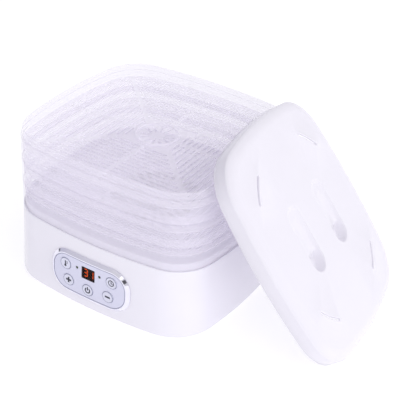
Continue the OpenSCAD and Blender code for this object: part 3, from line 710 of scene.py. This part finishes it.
def make_panel():
    b = Build()
    section = soften([(0, 0.15, 0), (0.1, 0.8, 0.3), (BEZEL_W - 1.3, POD_H, 1.4),
                      (BEZEL_W, POD_H, 0.4), (BEZEL_W, 0.15, 0)], 6)
    rings = [[(x, sag(x) - out, z) for x, z in bezel_loop(inset)] for inset, out in section]
    b.loft(rings)
    b.piece("bezel_ring", PANEL_M, "base", CHROME, ["panel_bezel"])

    f = Build()
    inset = BEZEL_W + 0.15
    holes = [circle(x, z, BUTTON_R + 0.25, 48) for x, z in BUTTONS.values()]
    holes += [circle(x, z, LAMP_HOLE_R, 24) for x, z in LAMPS]
    holes.append(round_rect(DISPLAY_W, DISPLAY_H, 0.8, 0, DISPLAY_Z, n=4))
    levels = ((0.3, FASCIA_OUT), (0.0, FASCIA_OUT - 0.3), (0.0, FASCIA_OUT - FASCIA_T))
    rims = [f.ring([(x, sag(x, out), z) for x, z in bezel_loop(inset + g)]) for g, out in levels]
    f.chain(rims)
    fronts, backs = [], []
    for loop in holes:
        rings = [f.ring([(x, sag(x, out), z) for x, z in shape]) for shape, out in
                 ((shrink(loop, -0.25), FASCIA_OUT), (loop, FASCIA_OUT - 0.25),
                  (loop, FASCIA_OUT - FASCIA_T))]
        f.chain(rings)
        fronts.append(rings[0])
        backs.append(rings[2])
    grid = [(x * 3.0 + 0.01, z * 3.0 + 0.01) for x in range(-17, 18) for z in range(-8, 9)]
    f.fill(rims[0], fronts, from_front, grid, lambda x, z: (x, sag(x, FASCIA_OUT), z))
    f.fill(rims[2], backs, from_front, grid, lambda x, z: (x, sag(x, FASCIA_OUT - FASCIA_T), z))
    f.piece("fascia_plate", PANEL_M, "base", FASCIA, ["panel_fascia"])

    # a thin grey-blue line just inside the fascia's edge
    line = Build()
    line.loft([[(x, sag(x, FASCIA_OUT + 0.03), z) for x, z in bezel_loop(inset + g)]
               for g in (0.35, 0.85)], closed=False)
    line.piece("fascia_line", PANEL_M, "base", EDGE_LINE)

    lens = Build()
    shape = round_rect(DISPLAY_W - 0.3, DISPLAY_H - 0.3, 0.7, 0, DISPLAY_Z, n=4)
    small = shrink(shape, 0.25)
    rings = [lens.ring([(x, y, z) for x, z in loop]) for loop, y in
             ((small, -POD_H + 0.2), (shape, -POD_H + 0.4), (shape, -POD_H + 1.4))]
    lens.chain(rings)
    lens.cap(rings[0])
    lens.cap(rings[2])
    lens.piece("display_window", PANEL_M, "base", LENS, ["display_lens"])

    make_digits()
    for x, z in LAMPS:
        lamp = Build()
        y = sag(x) - POD_H
        dome = [(0.4, y + 0.1), (1.0, y + 0.2), (1.4, y + 0.45), (1.6, y + 0.9), (1.6, BOARD_Y)]
        lathe(lamp, dome, x, z, 32)
        side = "left" if x < 0 else "right"
        lamp.piece("lamp_" + side, PANEL_M, "base", LAMP, ["indicator_lamps"])


def make_digits():
    """Two seven-segment figures, each lit bar with pointed ends."""
    w, h, s = 4.4, 9.4, 0.9
    spots = {"a": (0, h / 2, 1), "b": (w / 2, h / 4, 0), "c": (w / 2, -h / 4, 0), "d": (0, -h / 2, 1),
             "e": (-w / 2, -h / 4, 0), "f": (-w / 2, h / 4, 0), "g": (0, 0, 1)}
    b = Build()
    for cx, lit in ((-4.0, "abcdg"), (4.0, "bc")):
        for key in lit:
            x, z, lying = spots[key]
            half = (w / 2 if lying else h / 4) - 0.25
            bar = [(-half, 0), (-half + s / 2, -s / 2), (half - s / 2, -s / 2),
                   (half, 0), (half - s / 2, s / 2), (-half + s / 2, s / 2)]
            if not lying:
                bar = [(-q, p) for p, q in bar]
            outline = [(cx + x + p, DISPLAY_Z + z + q) for p, q in bar]
            prism(b, outline, -POD_H + 1.45, -POD_H + 1.8)
    b.piece("display_figures", PANEL_M, "base", DIGIT, ["display_digits"])


def bar_outline(x0, z0, x1, z1, r, n=8):
    """A bar with round ends between two points."""
    p, q = Vector((x0, z0)), Vector((x1, z1))
    a = math.atan2(q.y - p.y, q.x - p.x)
    out = [(q.x + r * math.cos(a - math.pi / 2 + math.pi * i / n),
            q.y + r * math.sin(a - math.pi / 2 + math.pi * i / n)) for i in range(n + 1)]
    out += [(p.x + r * math.cos(a + math.pi / 2 + math.pi * i / n),
             p.y + r * math.sin(a + math.pi / 2 + math.pi * i / n)) for i in range(n + 1)]
    return out


def ring_outline(cx, cz, r, w, start, end, n=40):
    """An open ring from one angle to another, in degrees."""
    a = [math.radians(start + (end - start) * i / n) for i in range(n + 1)]
    out = [(cx + (r + w / 2) * math.cos(t), cz + (r + w / 2) * math.sin(t)) for t in a]
    return out + [(cx + (r - w / 2) * math.cos(t), cz + (r - w / 2) * math.sin(t)) for t in reversed(a)]


def icon_shapes(key):
    """Outlines of a button's printed icon."""
    if key == "plus":
        w, t = 3.7, 1.1
        return [[(-w, -t), (-t, -t), (-t, -w), (t, -w), (t, -t), (w, -t), (w, t),
                 (t, t), (t, w), (-t, w), (-t, t), (-w, t)]]
    if key == "minus":
        return [[(-3.5, -1.1), (3.5, -1.1), (3.5, 1.1), (-3.5, 1.1)]]
    if key == "power":
        return [ring_outline(0, -0.3, 3.1, 1.5, 125, 415), bar_outline(0, 0.6, 0, 3.7, 0.75)]
    if key == "timer":
        return [ring_outline(0, 0, 3.5, 1.0, 0, 359.9), bar_outline(0, 0, 0, 2.3, 0.5),
                bar_outline(0.3, 0, 1.8, -0.7, 0.5)]
    # temperature: a thermometer with its scale
    return [circle(-0.5, -2.5, 1.5, 24), bar_outline(-0.5, -1.0, -0.5, 3.2, 0.7),
            bar_outline(1.3, 0.4, 2.4, 0.4, 0.28), bar_outline(1.3, 1.8, 2.4, 1.8, 0.28),
            bar_outline(1.3, 3.2, 2.4, 3.2, 0.28)]


def make_button(key):
    """A button's domed cap with its stem, printed icon and a thin dark ring along the cap's edge."""
    x, z = BUTTONS[key]
    body = "button_" + key
    y = sag(x) - POD_H - 0.3
    b = Build()
    r = BUTTON_R
    lathe(b, [(2.0, y + 0.18), (4.5, y + 0.12), (6.0, y + 0.03), (r - 0.7, y), (r - 0.3, y + 0.1),
              (r - 0.05, y + 0.4), (r - 0.05, y + 3.3), (r + 1.1, y + 3.4), (r + 1.1, y + 4.3),
              (2.2, y + 4.4), (2.2, BOARD_Y - 4.8)], x, z, 64)
    b.piece("cap_" + key, PANEL_M, body, BUTTON, [body])
    icon = Build()
    for shape in icon_shapes(key):
        prism(icon, [(x + p, z + q) for p, q in shape], y + 0.06, y + 0.3)
    icon.piece("icon_" + key, PANEL_M, body, INK)
    ring = Build()
    prism(ring, circle(x, z, r - 0.1, 64), y + 0.04, y + 0.6, [circle(x, z, r - 0.55, 64)])
    ring.piece("outline_" + key, PANEL_M, body, EDGE_LINE)


make_panel()
for key in BUTTONS:
    make_button(key)

# ---------- pieces that keep their CAD shape ----------

KEPT = {
    "bottom_cover": WHITE, "rubber_feet": RUBBER, "top_deck": WHITE, "display_module": DARK,
    "control_board": BOARD, "tact_switches": DARK, "power_board": BOARD, "power_components": PARTS,
    "motor_bracket": STEEL, "motor_can": STEEL, "motor_stator": COPPER, "motor_bearings": BRONZE,
    "motor_rotor": STEEL, "fan_shaft": STEEL, "fan_impeller": DUCT, "air_duct": DUCT,
    "heater_frame": MICA, "heater_ribbon": RIBBON, "thermostat": STEEL, "thermal_fuse": STEEL,
    "temperature_sensor": DARK, "terminal_block": DARK, "cord_gland": WHITE, "cord_clamp": WHITE,
    "wire_harness": WIRE, "base_screws": STEEL, "deck_screws": STEEL, "bracket_screws": STEEL,
    "board_screws": STEEL,
}
for node, material in KEPT.items():
    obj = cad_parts[node]
    if not obj.material_slots:
        obj.data.materials.append(material)
    for s in obj.material_slots:
        s.material = material

# ---------- floor, light and camera ----------


PALE_ROOM = (0.985, 0.98, 1.0)


def make_floor():
    """A pale round floor, here in metres."""
    b = Build()
    rings = b.loft([[(x, y, 0) for x, y in circle(0, 0, r, 24)] for r in (0.3, 2.0, 8.0)], closed=False)
    b.cap(rings[0])
    mesh = bpy.data.meshes.new("studio_floor")
    mesh.from_pydata(b.verts, [], b.faces)
    floor = link("studio_floor", mesh)
    s = Shader("studio_floor", (0.5, 0.5, 0.51), 0.9,
               Emission_Color=(*PALE_ROOM, 1), Emission_Strength=0.64)
    s.colors(s.noise(0.8, 2), (0.49, 0.49, 0.5), (0.51, 0.51, 0.52))
    mesh.materials.append(s.mat)


make_floor()

world = bpy.data.worlds.new("studio")
bpy.context.scene.world = world
world.use_nodes = True


def patch(toward, inner, outer):
    """How far a direction of the surroundings falls in a small patch of the studio, for reflections."""
    tree = world.node_tree
    dot = tree.nodes.new("ShaderNodeVectorMath")
    dot.operation = "DOT_PRODUCT"
    dot.inputs[1].default_value = Vector(toward).normalized()
    tree.links.new(tree.nodes["surroundings"].outputs["Generated"], dot.inputs[0])
    span = tree.nodes.new("ShaderNodeMapRange")
    span.inputs["From Min"].default_value = math.cos(math.radians(outer))
    span.inputs["From Max"].default_value = math.cos(math.radians(inner))
    tree.links.new(dot.outputs["Value"], span.inputs["Value"])
    return span.outputs["Result"]


def make_world():
    """A pale room, with a few patches that the plated ring and the glossy plastic reflect."""
    tree = world.node_tree
    sky = tree.nodes["Background"]
    sky.inputs["Strength"].default_value = SKY
    tree.nodes.new("ShaderNodeTexCoord").name = "surroundings"
    last = (*PALE_ROOM, 1)
    for toward, inner, outer, color in PATCHES:
        blend = tree.nodes.new("ShaderNodeMixRGB")
        blend.inputs["Color2"].default_value = color
        tree.links.new(patch(toward, inner, outer), blend.inputs["Fac"])
        if isinstance(last, tuple):
            blend.inputs["Color1"].default_value = last
        else:
            tree.links.new(last, blend.inputs["Color1"])
        last = blend.outputs["Color"]
    tree.links.new(last, sky.inputs["Color"])


SKY = 0.72
# where the plated ring shows something brighter or darker than the pale room
PATCHES = (
    ((0.59, -0.77, 0.23), 6.5, 8.5, (0.01, 0.01, 0.02, 1)),
    ((0.4, -0.79, 0.46), 4, 7, (2.2, 2.2, 2.2, 1)),
    ((-0.95, -0.3, 0.1), 15, 60, (0.76, 0.75, 0.87, 1)),
    ((-0.98, -0.17, 0.02), 4, 8, (0.1, 0.1, 0.12, 1)),
)
make_world()


def soft_light(name, at, look, size, power):
    """A rectangular lamp aimed at a point; it leaves no highlight of its own."""
    data = bpy.data.lights.new(name, "AREA")
    data.shape = "RECTANGLE"
    data.size, data.size_y = size
    data.energy = power
    lamp = link(name, data)
    lamp.visible_glossy = False
    at, look = Vector(at), Vector(look)
    aim = (look - at).to_track_quat("-Z", "Y").to_matrix().to_4x4()
    lamp.matrix_world = Matrix.Translation(at) @ aim


soft_light("key_light", (1.95, -0.95, 1.3), (0, 0, 0.1), (1.8, 1.4), 19)
soft_light("back_light", (1.3, 1.7, 1.7), (0, 0, 0.1), (1.6, 1.0), 11)

AZ, EL, ROLL = math.radians(31.28), math.radians(32.82), math.radians(3.15)
DIST = 1.395
target = UNIT + Vector((0, 0.1021, 0.0379))
back = Vector((math.sin(AZ) * math.cos(EL), -math.cos(AZ) * math.cos(EL), math.sin(EL)))
right = Vector((math.cos(AZ), math.sin(AZ), 0))
up = back.cross(right)
turned_right = right * math.cos(ROLL) + up * math.sin(ROLL)
turned_up = up * math.cos(ROLL) - right * math.sin(ROLL)
camera_data = bpy.data.cameras.new("photo_camera")
camera_data.sensor_width = 36.0
camera_data.lens = 96.98
camera = link("photo_camera", camera_data)
place = Matrix.Translation(target + back * DIST)
turn = Matrix((turned_right, turned_up, back)).transposed().to_4x4()
camera.matrix_world = place @ turn
bpy.context.scene.camera = camera
bpy.context.scene.view_settings.view_transform = "Standard"
# a look through the stack crosses more than a dozen clear faces
bpy.context.scene.cycles.transparent_max_bounces = 40
